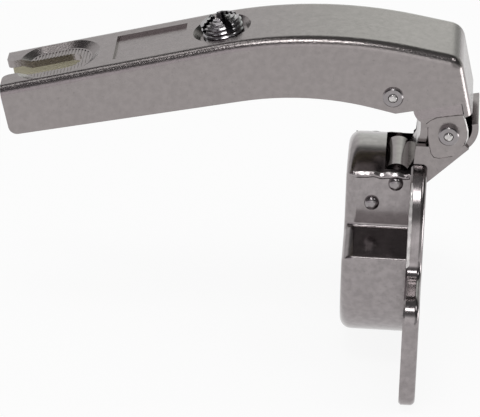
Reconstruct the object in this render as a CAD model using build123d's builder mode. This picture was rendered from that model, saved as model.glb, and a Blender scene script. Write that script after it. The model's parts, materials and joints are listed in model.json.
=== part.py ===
from build123d import *
import os
from math import acos, asin, atan2, cos, degrees, pi, radians, sin, sqrt

os.makedirs("parts", exist_ok=True)

# A concealed hinge for a door beside a blind corner panel, modelled fully open.
# The origin is the cup's centre on the seat of its flange. +X points out of the cup's mouth,
# +Z to the edge of the door that the arm stands at, and Y runs along the pivots.

# Boring cup
cup_diameter = 35.0
cup_depth = 11.2
cup_wall = 1.2
cup_base_radius = 2.0
cup_edge_radius = 0.5
waist_clearance = 0.3
shelf_inner_height = 5.4
shelf_outer_height = 3.7
shelf_root_radius = 0.6
notch_depth = 4.6

# Flange and its two screw wings
flange_overhang = 0.9
flange_thickness = 2.8
flange_sheet = 1.3
flange_edge_radius = 0.9
flange_back_chamfer = 0.35
wing_half_length = 30.6
wing_top = 1.8
wing_bottom = -19.1
wing_corner_radius = 4.4
wing_root_radius = 3.0
screw_spacing = 45.0
screw_offset = 9.5
screw_hole_diameter = 4.4
screw_sink_diameter = 8.0
screw_boss_diameter = 10.4

# Pivots of the cup, seen along Y
rear_cup_pivot = (-6.55, 9.95)
front_cup_pivot = (-2.53, 13.93)
cup_pin_diameter = 2.5
cup_pin_head_diameter = 2.6
cup_pin_stand = 1.1
cup_pin_dome = 1.0

# Places of the arm's pivots with the door fully open
front_arm_pivot = (6.12, 24.13)
rear_arm_pivot = (-3.75, 30.37)
rivet_shank_diameter = 2.8
rivet_head_diameter = 3.55
front_rivet_stand = 1.05
rear_rivet_stand = 0.55
rivet_chamfer = 0.2
punch_diameter = 1.7
punch_depth = 0.45
running_clearance = 0.05
press_interference = 0.01

# Arm, in its own plane: u runs along the mounting seat, v away from it, from the front arm pin
arm_tilt = 12.6
arm_width = 16.0
arm_sheet = 1.3
arm_fold_radius = 1.8
arm_rear_end = -75.1
arm_seat_height = 11.6
arm_end_radius = 1.5
web_rise = 2.48
web_bend_start = -37.0
web_bend_height = 22.25
web_bend_radius = 80.0
web_drop = 22.5
nose_reach = 4.45
nose_radius = 3.0
nose_tip_height = 2.4
belly_start = -34.0
belly_radius = 52.0
belly_drop = 25.0
chin_height = 5.05
chin_front = -5.3
chin_bulge = (-4.75, 3.5)
chin_foot = (-3.4, 2.6)
joggle_height = 3.3
joggle_offset = 0.6
joggle_radius = 1.6
lug_radius = 3.3
lug_back = -3.65
lug_drop = 4.3
lug_corner_radius = 1.1
lug_nose_gap = 0.1

# Fixing slot, stamped recesses and adjusting screw in the arm's web
slot_width = 5.3
slot_length = 13.8
slot_dish_rear = 2.6
slot_dish_front = 17.3
slot_dish_width = 13.0
slot_dish_rear_radius = 4.5
slot_dish_depth = 0.7
slot_dish_slope = 1.6
serration_pitch = 0.6
serration_width = 0.3
serration_depth = 0.12
badge_length = 12.6
badge_width = 9.3
badge_depth = 0.55
badge_rear = 20.0
screw_place = 39.2
screw_dish_diameter = 10.4
screw_dish_foot_diameter = 8.4
screw_dish_depth = 1.2
adjuster_diameter = 7.2
adjuster_stand = 2.65
adjuster_length = 8.4
adjuster_shoulder = 1.3
adjuster_cross_width = 1.15
adjuster_cross_depth = 2.45
adjuster_cross_turn = 19.5
thread_pitch = 0.8
thread_depth = 0.22
thread_flat = 0.2
thread_turns = 4
crown_ring_width = 0.25
crown_ring_depth = 0.18
crown_rings = (2.2, 2.9)
adjuster_neck_diameter = 4.6
adjuster_neck_length = 2.2
adjuster_foot_diameter = 7.0
adjuster_foot_thickness = 1.4
collar_diameter = 9.6
collar_height = 1.0
prong_corner_radius = 1.2

# Outer link
link_side_clearance = 0.5
outer_link_sheet = 1.1
outer_link_eye_radius = 3.0
outer_link_cup_eye_radius = 2.9
outer_web_at_arm = 5.1
outer_web_at_cup = 4.05
outer_web_start = 8.2
tongue_inset = 0.7
tongue_lift = 12.0
tongue_relief = 0.9
link_shoulder = (0.6, 20.6)
link_shoulder_width = 2.2
link_throat = (0.15, 14.0)
pin_way = 0.4

# Inner link
inner_link_side_gap = 0.4
inner_link_sheet = 1.3
inner_link_eye_radius = 2.35
inner_link_rise = 63.0
inner_link_knee = (1.15, 17.6)
inner_link_knee_radius = 1.5
inner_link_neck = (1.2, 19.7)
inner_link_crown = (1.9, 23.6)
inner_link_stem_height = 28.4
hook_clearance = 0.3
hook_end_angle = 183.0

# Closing spring on the front arm pin
sleeve_wall = 0.6
sleeve_end_gap = 0.3
spring_wire = 0.9
spring_full_turns = 4
spring_pitch = 1.0
spring_play = 0.12
spring_web_reach = 5.5
spring_stem_drop = 0.7
spring_leg_gap = 0.6

# How near two places must be to count as one
touch = 0.02

# Sizes that follow
cup_radius = cup_diameter / 2
flange_radius = cup_radius + flange_overhang
arm_half = arm_width / 2
arm_inner_half = arm_half - arm_sheet
nose_inside = nose_reach - arm_sheet
lug_outer = arm_half + joggle_offset
lug_inner = lug_outer - arm_sheet
outer_link_half = lug_inner - link_side_clearance
outer_link_inner = outer_link_half - outer_link_sheet
inner_link_half = outer_link_inner - inner_link_side_gap
tongue_half = outer_link_half - tongue_inset
waist_inner_half = outer_link_half + waist_clearance
waist_half_width = waist_inner_half + cup_wall
cup_pin_radius = cup_pin_diameter / 2
rivet_radius = rivet_shank_diameter / 2
web_rear = (arm_rear_end - web_bend_start) / cos(radians(web_rise))
arm_plane = Plane(
    origin=(front_arm_pivot[0], 0, front_arm_pivot[1]),
    x_dir=(cos(radians(arm_tilt)), 0, sin(radians(arm_tilt))),
    z_dir=(0, -1, 0),
)
web_angle = radians(arm_tilt + web_rise)
web_plane = Plane(
    origin=arm_plane.from_local_coords(Vector(web_bend_start, web_bend_height)),
    x_dir=(cos(web_angle), 0, sin(web_angle)),
    z_dir=(-sin(web_angle), 0, cos(web_angle)),
)


def cup_block(inset, reach=0):
    """Make the cup's solid block, inset from the outside by a wall and reaching past the seat."""
    radius = cup_radius - inset
    waist = waist_half_width - inset
    root = shelf_inner_height - inset
    slope = (shelf_outer_height - shelf_inner_height) / (cup_radius - waist_half_width)
    far = 2 * cup_radius
    depth = cup_depth - inset
    with BuildPart() as block:
        with BuildSketch(Plane.YZ.offset(-depth)) as outline:
            Circle(radius)
            for side in (1, -1):
                with BuildLine():
                    Polyline(
                        (side * waist, root),
                        (side * far, root + slope * (far - waist)),
                        (side * far, far),
                        (side * waist, far),
                        close=True,
                    )
                make_face(mode=Mode.SUBTRACT)
            roots = outline.vertices().filter_by(lambda v: abs(v.Y - root) < touch)
            fillet(roots, shelf_root_radius + inset)
            if inset < cup_edge_radius:
                rim = outline.vertices().filter_by(lambda v: abs(sqrt(v.X**2 + v.Y**2) - radius) < touch)
                fillet(rim.filter_by(lambda v: v.Y > touch), cup_edge_radius - inset)
        extrude(amount=depth + reach)
        base = block.faces().sort_by(Axis.X)[0]
        fillet(base.edges(), cup_base_radius - inset)
    return block.part


cup_hollow = cup_block(cup_wall, flange_thickness)


# Hinge cup: one drawn pressing with its flange and screw wings
with BuildPart() as hinge_cup:
    add(cup_block(0))
    # flange plate
    with BuildSketch(Plane.YZ) as flange_outline:
        Circle(flange_radius)
        with Locations((0, (wing_top + wing_bottom) / 2)):
            Rectangle(2 * wing_half_length, wing_top - wing_bottom)
        ends = flange_outline.vertices().filter_by(lambda v: abs(v.X) > wing_half_length - touch)
        fillet(ends, wing_corner_radius)
        roots = flange_outline.vertices().filter_by(
            lambda v: abs(v.X) < flange_radius + touch and abs(v.Y) > touch)
        fillet(roots, wing_root_radius)
    extrude(amount=flange_thickness)
    front_rim = hinge_cup.faces().sort_by(Axis.X)[-1]
    fillet(front_rim.edges(), flange_edge_radius)
    back_rim = []
    for edge in hinge_cup.edges():
        middle = edge @ 0.5
        outside = sqrt(middle.Y**2 + middle.Z**2) > flange_radius - touch
        if abs((edge @ 0).X) < touch and abs(middle.X) < touch and outside:
            back_rim.append(edge)
    chamfer(back_rim, flange_back_chamfer)
    # the wings are hollow behind
    with BuildSketch(Plane.YZ) as wing_hollow:
        with Locations((0, (wing_top + wing_bottom) / 2)):
            Rectangle(2 * (wing_half_length - flange_sheet), wing_top - wing_bottom - 2 * flange_sheet)
        fillet(wing_hollow.vertices(), wing_corner_radius - flange_sheet)
        Circle(flange_radius + flange_sheet, mode=Mode.SUBTRACT)
        with Locations((screw_spacing / 2, -screw_offset), (-screw_spacing / 2, -screw_offset)):
            Circle(screw_boss_diameter / 2, mode=Mode.SUBTRACT)
    extrude(amount=flange_thickness - flange_sheet, mode=Mode.SUBTRACT)
    # the cup's hollow
    add(cup_hollow, mode=Mode.SUBTRACT)
    # notch for the links in the top wall, open to the mouth
    with BuildSketch(Plane.YZ.offset(-notch_depth)):
        with Locations((0, cup_radius)):
            Rectangle(2 * waist_inner_half, 2 * waist_inner_half)
    extrude(amount=notch_depth + flange_thickness, mode=Mode.SUBTRACT)
    # pin holes
    with BuildSketch(Plane.XZ):
        with Locations(rear_cup_pivot, front_cup_pivot):
            Circle(cup_pin_radius - press_interference)
    extrude(amount=cup_radius, both=True, mode=Mode.SUBTRACT)
    # countersunk screw holes
    with Locations(Plane.YZ.offset(flange_thickness)):
        with Locations((screw_spacing / 2, -screw_offset), (-screw_spacing / 2, -screw_offset)):
            CounterSinkHole(screw_hole_diameter / 2, screw_sink_diameter / 2)
hinge_cup.part.label = "hinge_cup"
export_step(hinge_cup.part, "parts/hinge_cup.step")


def cup_pin(place, label):
    """Make a pin through both of the cup's flats, with a domed head outside each."""
    with BuildPart(Plane.XZ) as pin:
        with Locations(place):
            Cylinder(cup_pin_radius, 2 * waist_half_width)
        for side in (1, -1):
            with Locations((*place, side * (waist_half_width + cup_pin_stand / 2))):
                Cylinder(cup_pin_head_diameter / 2, cup_pin_stand)
        ends = pin.edges().filter_by(GeomType.CIRCLE).sort_by(Axis.Y)
        fillet((ends[0], ends[-1]), cup_pin_dome)
    pin.part.label = label
    export_step(pin.part, f"parts/{label}.step")


cup_pin(rear_cup_pivot, "rear_cup_pin")
cup_pin(front_cup_pivot, "front_cup_pin")


def web_chain(inset):
    """Draw the line of the arm's web from its rear end to the nose's tip, at a depth in the sheet."""
    rise, drop = radians(web_rise), radians(web_drop)
    bend = (web_bend_start + inset * sin(rise), web_bend_height - inset * cos(rise))
    back = bend[0] - arm_rear_end
    rear = (arm_rear_end, bend[1] - back * sin(rise) / cos(rise))
    Line(rear, bend)
    curve = JernArc(bend, (cos(rise), sin(rise)), web_bend_radius - inset, -(web_rise + web_drop))
    end = curve @ 1
    reach = nose_reach - inset - end.X
    corner = (nose_reach - inset, end.Y - reach * sin(drop) / cos(drop))
    Line(end, corner)
    return rear, corner


def slot_dish(plane, inset):
    """Make the outline of the dish round the fixing slot on a plane, inset towards its foot."""
    nose_half = slot_dish_width / 2 - inset
    front = web_rear + slot_dish_front - slot_dish_width / 2
    rear = web_rear + slot_dish_rear + inset
    with BuildSketch(plane) as dish:
        with BuildLine():
            CenterArc((front, 0), nose_half, -90, 180)
            FilletPolyline(
                (front, nose_half),
                (rear, nose_half),
                (rear, -nose_half),
                (front, -nose_half),
                radius=slot_dish_rear_radius - inset,
            )
        make_face()
    return dish.sketch


serration_room = slot_dish_front - slot_dish_rear - 2 * slot_dish_slope
serration_count = int(serration_room / serration_pitch)

# Lugs for the front arm pin, joggled out below the arm's cheeks
with BuildPart() as lugs:
    with BuildSketch(arm_plane) as lug_side:
        with BuildLine():
            ThreePointArc((chin_front, chin_height), chin_bulge, chin_foot)
            Polyline(
                chin_foot,
                (lug_back, 0),
                (lug_back, -lug_drop),
                (0, -lug_drop),
                (lug_radius * cos(radians(45)), -lug_radius * sin(radians(45))),
                (lug_radius, 0),
                (nose_inside - lug_nose_gap, joggle_height),
                (nose_inside - lug_nose_gap, chin_height),
                (chin_front, chin_height),
            )
        make_face()
        Circle(lug_radius)
        toe = lug_side.vertices().sort_by_distance(Vector(lug_back, -lug_drop))[0]
        fillet(toe, lug_corner_radius)
    extrude(amount=lug_outer, both=True)
    lug_front = arm_plane.from_local_coords(Vector(nose_inside, 0))
    with BuildSketch(Plane(origin=lug_front, x_dir=(0, -1, 0), z_dir=-arm_plane.x_dir)) as lug_section:
        for side in (1, -1):
            with BuildLine():
                Polyline(
                    (side * arm_inner_half, chin_height),
                    (side * arm_half, chin_height),
                    (side * lug_outer, joggle_height),
                    (side * lug_outer, -lug_drop),
                    (side * lug_inner, -lug_drop),
                    (side * lug_inner, joggle_height),
                    close=True,
                )
            make_face()
        bends = lug_section.vertices().filter_by(lambda v: abs(v.Y - joggle_height) < touch)
        fillet(bends, joggle_radius)
    extrude(amount=2 * nose_reach, mode=Mode.INTERSECT)


# Hinge arm: one folded pressing, open below
with BuildPart() as hinge_arm:
    with BuildSketch(arm_plane) as arm_side:
        with BuildLine():
            rear, corner = web_chain(0)
            Line(corner, (nose_reach, nose_tip_height))
            Polyline(
                (nose_reach, nose_tip_height),
                (nose_inside, nose_tip_height),
                (nose_inside, chin_height),
                (chin_front, chin_height),
            )
            belly = JernArc((belly_start, arm_seat_height), (1, 0), belly_radius, -belly_drop)
            slope = (belly @ 1) - Vector(0, chin_height)
            chin_back = slope.X + slope.Y * cos(radians(belly_drop)) / sin(radians(belly_drop))
            Polyline((chin_front, chin_height), (chin_back, chin_height), belly @ 1)
            Polyline((belly_start, arm_seat_height), (arm_rear_end, arm_seat_height), rear)
        make_face()
        nose = arm_side.vertices().sort_by_distance(Vector(*corner))[0]
        fillet(nose, nose_radius)
        heel = arm_side.vertices().sort_by_distance(Vector(arm_rear_end, arm_seat_height))[0]
        fillet(heel, arm_end_radius)
    extrude(amount=arm_half, both=True)
    folds = []
    for edge in hinge_arm.faces().filter_by(Axis.Y).edges():
        middle = arm_plane.to_local_coords(edge @ 0.5)
        on_web = middle.Y > arm_seat_height + arm_end_radius / 2 and middle.X > arm_rear_end + touch
        if on_web or middle.X > nose_reach - touch:
            folds.append(edge)
    fillet(folds, arm_fold_radius)
    # the channel's hollow
    with BuildSketch(arm_plane):
        with BuildLine():
            rear_in, corner_in = web_chain(arm_sheet)
            below = -2 * lug_drop
            Polyline(
                corner_in,
                (corner_in[0], below),
                (arm_rear_end, below),
                rear_in,
            )
        make_face()
    extrude(amount=arm_inner_half, both=True, mode=Mode.SUBTRACT)
    add(lugs.part)
    # dished seats pressed down into the web round the fixing slot and the adjusting screw
    for depth, mode in ((arm_sheet, Mode.ADD), (0, Mode.SUBTRACT)):
        add(slot_dish(web_plane.offset(-depth), 0))
        add(slot_dish(web_plane.offset(-depth - slot_dish_depth), slot_dish_slope))
        loft(ruled=True, mode=mode)
        with BuildSketch(web_plane.offset(-depth)):
            with Locations((web_rear + screw_place, 0)):
                Circle(screw_dish_diameter / 2)
        with BuildSketch(web_plane.offset(-depth - screw_dish_depth)):
            with Locations((web_rear + screw_place, 0)):
                Circle(screw_dish_foot_diameter / 2)
        loft(mode=mode)
    with BuildSketch(web_plane.offset(-arm_sheet - screw_dish_depth - collar_height)):
        with Locations((web_rear + screw_place, 0)):
            Circle(collar_diameter / 2)
    extrude(amount=collar_height)
    # fine serrations across the slot's seat
    with BuildSketch(web_plane.offset(-slot_dish_depth - serration_depth)):
        with Locations((web_rear + (slot_dish_rear + slot_dish_front) / 2, 0)):
            with GridLocations(serration_pitch, 1, serration_count, 1):
                Rectangle(serration_width, slot_dish_width)
        add(slot_dish(Plane.XY, slot_dish_slope + serration_width), mode=Mode.INTERSECT)
    extrude(amount=slot_dish_depth, mode=Mode.SUBTRACT)
    # fixing slot, open at the rear end
    with BuildSketch(web_plane):
        with Locations((web_rear + slot_length - slot_width / 2, 0)):
            Circle(slot_width / 2)
        with Locations((web_rear, 0)):
            Rectangle(2 * slot_length - slot_width, slot_width)
    extrude(amount=2 * arm_sheet, both=True, mode=Mode.SUBTRACT)
    prong_corners = []
    for edge in hinge_arm.edges().filter_by(lambda e: e.geom_type == GeomType.LINE):
        place = web_plane.to_local_coords(edge @ 0.5)
        upright = abs((edge % 0.5).dot(web_plane.z_dir)) > 0.99
        if upright and place.X < web_rear + touch and abs(abs(place.Y) - slot_width / 2) < touch:
            prong_corners.append(edge)
    fillet(prong_corners, prong_corner_radius)
    # bare stamped recess
    with BuildSketch(web_plane.offset(-badge_depth)):
        with Locations((web_rear + badge_rear + badge_length / 2, 0)):
            Rectangle(badge_length, badge_width)
    extrude(amount=arm_sheet, mode=Mode.SUBTRACT)
    # tapped hole of the adjusting screw
    with BuildSketch(web_plane):
        with Locations((web_rear + screw_place, 0)):
            Circle(adjuster_diameter / 2 + running_clearance)
    extrude(amount=3 * arm_sheet, both=True, mode=Mode.SUBTRACT)
    # rivet holes
    with BuildSketch(Plane.XZ):
        with Locations(front_arm_pivot, rear_arm_pivot):
            Circle(rivet_radius - press_interference)
    extrude(amount=arm_width, both=True, mode=Mode.SUBTRACT)
hinge_arm.part.label = "hinge_arm"
export_step(hinge_arm.part, "parts/hinge_arm.step")


def arm_rivet(place, half_grip, stand, label):
    """Make a rivet through the arm, with a chamfered and punched head outside each cheek."""
    half = half_grip + stand
    punch_ball = (punch_diameter**2 / 4 + punch_depth**2) / (2 * punch_depth)
    with BuildPart(Plane.XZ) as rivet:
        with Locations(place):
            Cylinder(rivet_radius, 2 * half_grip)
        for side in (1, -1):
            with Locations((*place, side * (half_grip + stand / 2))):
                Cylinder(rivet_head_diameter / 2, stand)
        ends = rivet.edges().filter_by(GeomType.CIRCLE).sort_by(Axis.Y)
        chamfer((ends[0], ends[-1]), rivet_chamfer)
        for side in (1, -1):
            with Locations((*place, side * (half + punch_ball - punch_depth))):
                Sphere(punch_ball, mode=Mode.SUBTRACT)
    rivet.part.label = label
    export_step(rivet.part, f"parts/{label}.step")


arm_rivet(front_arm_pivot, lug_outer, front_rivet_stand, "front_arm_pin")
arm_rivet(rear_arm_pivot, arm_half, rear_rivet_stand, "rear_arm_pin")

# Adjusting screw: threaded body with a crossed crown, and a foot for the mounting plate's keyhole
screw_axis = Plane(
    origin=web_plane.from_local_coords(Vector(web_rear + screw_place, 0)),
    x_dir=web_plane.x_dir,
    z_dir=(0, -1, 0),
)
with BuildPart() as side_adjusting_screw:
    radius = adjuster_diameter / 2
    neck_top = adjuster_stand - adjuster_length
    neck_foot = neck_top - adjuster_neck_length
    with BuildSketch(screw_axis):
        with BuildLine():
            Polyline(
                (radius, adjuster_shoulder),
                (radius, neck_top),
                (adjuster_neck_diameter / 2, neck_top),
                (adjuster_neck_diameter / 2, neck_foot),
                (adjuster_foot_diameter / 2, neck_foot),
                (adjuster_foot_diameter / 2, neck_foot - adjuster_foot_thickness),
                (0, neck_foot - adjuster_foot_thickness),
                (0, adjuster_stand),
            )
            crown_rise = adjuster_stand - adjuster_shoulder
            crown_ball = (radius**2 + crown_rise**2) / (2 * crown_rise)
            RadiusArc((0, adjuster_stand), (radius, adjuster_shoulder), crown_ball)
        make_face()
        # thread grooves on the part that stands out of the arm
        for turn in range(thread_turns):
            groove = adjuster_shoulder - turn * thread_pitch
            with BuildLine():
                Polyline(
                    (radius, groove - thread_flat),
                    (radius - thread_depth, groove - thread_pitch / 2),
                    (radius, groove - thread_pitch + thread_flat),
                    close=True,
                )
            make_face(mode=Mode.SUBTRACT)
        # rings turned into the crown
        for ring in crown_rings:
            height = adjuster_stand - crown_ball + sqrt(crown_ball**2 - ring**2)
            with Locations((ring, height)):
                Rectangle(crown_ring_width, 2 * crown_ring_depth, mode=Mode.SUBTRACT)
    revolve(axis=Axis(screw_axis.origin, web_plane.z_dir))
    with BuildSketch(web_plane.offset(adjuster_stand - adjuster_cross_depth)):
        with Locations((web_rear + screw_place, 0)):
            with Locations(Rotation(0, 0, adjuster_cross_turn)):
                Rectangle(adjuster_diameter * 2, adjuster_cross_width)
                Rectangle(adjuster_cross_width, adjuster_diameter * 2)
    extrude(amount=adjuster_length, mode=Mode.SUBTRACT)
side_adjusting_screw.part.label = "side_adjusting_screw"
export_step(side_adjusting_screw.part, "parts/side_adjusting_screw.step")

# Directions of the outer link, from the cup's pivot to the arm's
link_run = Vector(front_arm_pivot[0] - rear_cup_pivot[0], front_arm_pivot[1] - rear_cup_pivot[1])
link_angle = atan2(link_run.Y, link_run.X)
fold_angle = link_angle - asin((outer_web_at_arm - outer_web_at_cup) / link_run.length)
fold_run = Vector(cos(fold_angle), sin(fold_angle))
fold_out = Vector(sin(fold_angle), -cos(fold_angle))
arm_point, cup_point = Vector(*front_arm_pivot), Vector(*rear_cup_pivot)
fold_foot = cup_point + fold_out * outer_web_at_cup
fold_start = fold_foot + fold_run * outer_web_start
fold_end = arm_point + fold_out * outer_web_at_arm


def eye_tangent(point, centre, radius):
    """Return where the line from a point touches the lower side of an eye."""
    run = point - centre
    turn = atan2(run.Y, run.X) - acos(radius / run.length)
    return centre + Vector(cos(turn), sin(turn)) * radius


# Outer link: two cheeks folded up from a web that ends in a tongue round the front arm pin
with BuildPart() as outer_link:
    with BuildSketch(Plane.XZ):
        with BuildLine():
            Polyline(
                arm_point - Vector(outer_link_eye_radius, 0),
                (link_shoulder[0] + link_shoulder_width, link_shoulder[1]),
                link_shoulder,
                link_throat,
                cup_point,
                eye_tangent(fold_start, cup_point, outer_link_cup_eye_radius),
                fold_start,
                fold_end - fold_run * tongue_relief,
                arm_point + fold_out * outer_link_eye_radius,
                close=True,
            )
        make_face()
        with Locations(front_arm_pivot):
            Circle(outer_link_eye_radius)
        with Locations(rear_cup_pivot):
            Circle(outer_link_cup_eye_radius)
        with Locations(front_cup_pivot):
            Circle(cup_pin_radius + pin_way, mode=Mode.SUBTRACT)
    extrude(amount=outer_link_half, both=True)
    with BuildSketch(Plane.XZ) as fold_side:
        with BuildLine():
            Polyline(
                fold_start,
                fold_end,
                fold_end - fold_out * outer_link_sheet,
                fold_start - fold_out * outer_link_sheet,
                close=True,
            )
        make_face()
    extrude(amount=outer_link_half, both=True)
    with BuildSketch(Plane.XZ):
        with Locations(cup_point, arm_point):
            Circle(3 * link_run.length)
        add(fold_side.sketch, mode=Mode.SUBTRACT)
    extrude(amount=outer_link_inner, both=True, mode=Mode.SUBTRACT)
    with BuildSketch(Plane.XZ):
        with BuildLine():
            start = degrees(fold_angle) - 90
            outer_arc = CenterArc(arm_point, outer_web_at_arm, start, tongue_lift - start)
            inner_radius = outer_web_at_arm - outer_link_sheet
            inner_arc = CenterArc(arm_point, inner_radius, start, tongue_lift - start)
            Line(outer_arc @ 0, inner_arc @ 0)
            Line(outer_arc @ 1, inner_arc @ 1)
        make_face()
    extrude(amount=tongue_half, both=True)
    with BuildSketch(Plane.XZ):
        with Locations(rear_cup_pivot):
            Circle(cup_pin_radius + running_clearance)
        with Locations(front_arm_pivot):
            Circle(rivet_radius + running_clearance)
    extrude(amount=outer_link_half, both=True, mode=Mode.SUBTRACT)
outer_link.part.label = "outer_link"
export_step(outer_link.part, "parts/outer_link.step")

# Inner link: a bent strip with a rolled eye in the cup and an open rolled hook in the arm
hook_radius = rivet_radius + hook_clearance + inner_link_sheet / 2
with BuildPart() as inner_link:
    with BuildSketch(Plane.XZ):
        with BuildLine():
            hook_top = Vector(rear_arm_pivot[0], rear_arm_pivot[1] + hook_radius)
            head_radius = hook_top.Y - inner_link_stem_height
            stem_top = Vector(hook_top.X + head_radius, inner_link_stem_height)
            rise = radians(inner_link_rise)
            root_reach = inner_link_eye_radius - inner_link_sheet / 2
            root = Vector(*front_cup_pivot) + Vector(sin(rise), -cos(rise)) * root_reach
            FilletPolyline(root, inner_link_knee, inner_link_neck, radius=inner_link_knee_radius)
            ThreePointArc(inner_link_neck, inner_link_crown, stem_top)
            RadiusArc(stem_top, hook_top, -head_radius)
            CenterArc(Vector(*rear_arm_pivot), hook_radius, 90, hook_end_angle - 90)
        trace(line_width=inner_link_sheet)
        with Locations(front_cup_pivot):
            Circle(inner_link_eye_radius)
            Circle(cup_pin_radius + running_clearance, mode=Mode.SUBTRACT)
    extrude(amount=inner_link_half, both=True)
inner_link.part.label = "inner_link"
export_step(inner_link.part, "parts/inner_link.step")

# Spring sleeve on the front arm pin
sleeve_radius = rivet_radius + running_clearance + sleeve_wall
with BuildPart(Plane.XZ) as spring_sleeve:
    with Locations(front_arm_pivot):
        Cylinder(sleeve_radius, 2 * (outer_link_inner - sleeve_end_gap))
        Cylinder(rivet_radius + running_clearance, 2 * outer_link_inner, mode=Mode.SUBTRACT)
spring_sleeve.part.label = "spring_sleeve"
export_step(spring_sleeve.part, "parts/spring_sleeve.step")


def tangent_turn(end, side):
    """Return the angle on the coil where a straight leg to an end point leaves it."""
    run = end - arm_point
    return atan2(run.Y, run.X) - side * acos(coil_radius / run.length)


# Closing spring: a torsion coil with one leg on the outer link's web and one at the inner link
coil_radius = sleeve_radius + spring_play + spring_wire / 2
web_inside = outer_web_at_arm - outer_link_sheet - spring_wire / 2
web_leg_end = arm_point - fold_run * spring_web_reach + fold_out * web_inside
stem_face = stem_top.X + (inner_link_sheet + spring_wire) / 2 + spring_leg_gap
stem_leg_end = Vector(stem_face, stem_top.Y - spring_stem_drop)
web_leg_turn = tangent_turn(web_leg_end, -1)
stem_leg_turn = tangent_turn(stem_leg_end, 1)
coil_turns = spring_full_turns + (stem_leg_turn - web_leg_turn) / (2 * pi)
coil_height = coil_turns * spring_pitch
coil_axis = Axis((front_arm_pivot[0], coil_height / 2, front_arm_pivot[1]), (0, -1, 0))
with BuildPart() as closing_spring:
    with BuildLine() as wire:
        helix = Helix(
            spring_pitch,
            coil_height,
            coil_radius,
            center=coil_axis.position,
            direction=coil_axis.direction,
            lefthand=True,
            mode=Mode.PRIVATE,
        )
        start = helix @ 0 - coil_axis.position
        coil = helix.rotate(coil_axis, degrees(stem_leg_turn - atan2(start.Z, start.X)))
        add(coil)
        stem_leg = sqrt((stem_leg_end - arm_point).length ** 2 - coil_radius**2)
        web_leg = sqrt((web_leg_end - arm_point).length ** 2 - coil_radius**2)
        first, last = coil @ 0, coil @ 1
        Line(first - (coil % 0) * stem_leg, first)
        Line(last, last + (coil % 1) * web_leg)
    tip = first - (coil % 0) * stem_leg
    with BuildSketch(Plane(origin=tip, z_dir=coil % 0)):
        Circle(spring_wire / 2)
    sweep(path=wire.wire())
closing_spring.part.label = "closing_spring"
export_step(closing_spring.part, "parts/closing_spring.step")
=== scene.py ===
"""Looks of a blind corner hinge.

The pressed steel gets its nickel plating and the adjusting screw its thread. The cup and the arm's
lugs get fine rolls, nubs and lines. The flange's rolls, the rivets' nubs and the lugs' front edges
are pale to paint their highlights, the lugs' other lines and the screw's cross are dark to paint
shade, and a white studio goes round it.
"""

import json
import logging
import math
from dataclasses import dataclass
from enum import Enum

import bmesh
import bpy
from mathutils import Matrix, Vector


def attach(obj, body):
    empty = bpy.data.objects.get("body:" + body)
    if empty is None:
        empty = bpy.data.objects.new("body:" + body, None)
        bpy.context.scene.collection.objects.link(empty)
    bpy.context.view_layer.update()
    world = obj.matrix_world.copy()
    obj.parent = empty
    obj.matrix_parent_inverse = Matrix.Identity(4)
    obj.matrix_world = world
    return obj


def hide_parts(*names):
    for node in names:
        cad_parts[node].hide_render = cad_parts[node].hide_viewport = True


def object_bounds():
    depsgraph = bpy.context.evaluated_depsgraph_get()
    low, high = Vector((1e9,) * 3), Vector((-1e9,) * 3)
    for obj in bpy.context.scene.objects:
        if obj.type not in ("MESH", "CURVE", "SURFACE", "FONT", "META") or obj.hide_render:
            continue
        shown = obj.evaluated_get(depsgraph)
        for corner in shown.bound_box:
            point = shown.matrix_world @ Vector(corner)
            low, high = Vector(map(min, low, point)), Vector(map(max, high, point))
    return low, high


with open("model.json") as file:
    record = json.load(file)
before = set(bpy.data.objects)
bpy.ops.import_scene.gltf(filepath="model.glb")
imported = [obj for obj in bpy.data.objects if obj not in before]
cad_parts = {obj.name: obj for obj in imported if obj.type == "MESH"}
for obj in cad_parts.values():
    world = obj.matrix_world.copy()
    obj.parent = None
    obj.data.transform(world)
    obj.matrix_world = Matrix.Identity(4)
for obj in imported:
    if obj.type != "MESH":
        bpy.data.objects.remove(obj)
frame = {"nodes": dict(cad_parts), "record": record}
cad_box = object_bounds()

LOG = logging.getLogger("blind_corner_hinge")
MM = 0.001
SIDES = ((1, "left"), (-1, "right"))


class Lay(Enum):
    """How the steel was worked before it was plated."""

    ROLLED = "rolled"
    DRAWN = "drawn"
    TURNED = "turned"


# How many grains a metre of surface holds along each axis.
GRAINS = {
    Lay.ROLLED: (3000.0, 4500.0, 4500.0),
    Lay.DRAWN: (2200.0, 2200.0, 2200.0),
    Lay.TURNED: (4000.0, 4000.0, 4000.0),
}
GRAIN_DETAIL = 4.0

# The plating's clouds: waves to a metre, finer layers, and the part of the noise that shows.
CLOUD_SCALE = 900.0
CLOUD_DETAIL = 4.0
CLOUD_RANGE = (0.35, 0.65)

# The plating's pits: waves to a metre, finer layers, the part of the noise that is a pit, colour.
PIT_SCALE = 2600.0
PIT_DETAIL = 1.0
PIT_RANGE = (0.68, 0.74)
PIT_COLOUR = (0.02, 0.018, 0.02)

WHOLE = (0.0, 1.0)


def noise(
    tree: bpy.types.NodeTree, place: bpy.types.NodeSocket, scale: float, detail: float
) -> bpy.types.NodeSocket:
    """Add a cloudy noise.

    Args:
        tree: Node tree that the noise goes into.
        place: Socket with the place on the surface.
        scale: How many waves go to a metre.
        detail: How many finer layers lie on the first one.

    Returns:
        Socket with the noise, from 0 to 1.
    """
    made = tree.nodes.new("ShaderNodeTexNoise")
    made.inputs["Scale"].default_value = scale
    made.inputs["Detail"].default_value = detail
    tree.links.new(place, made.inputs["Vector"])
    return made.outputs["Fac"]


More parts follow.
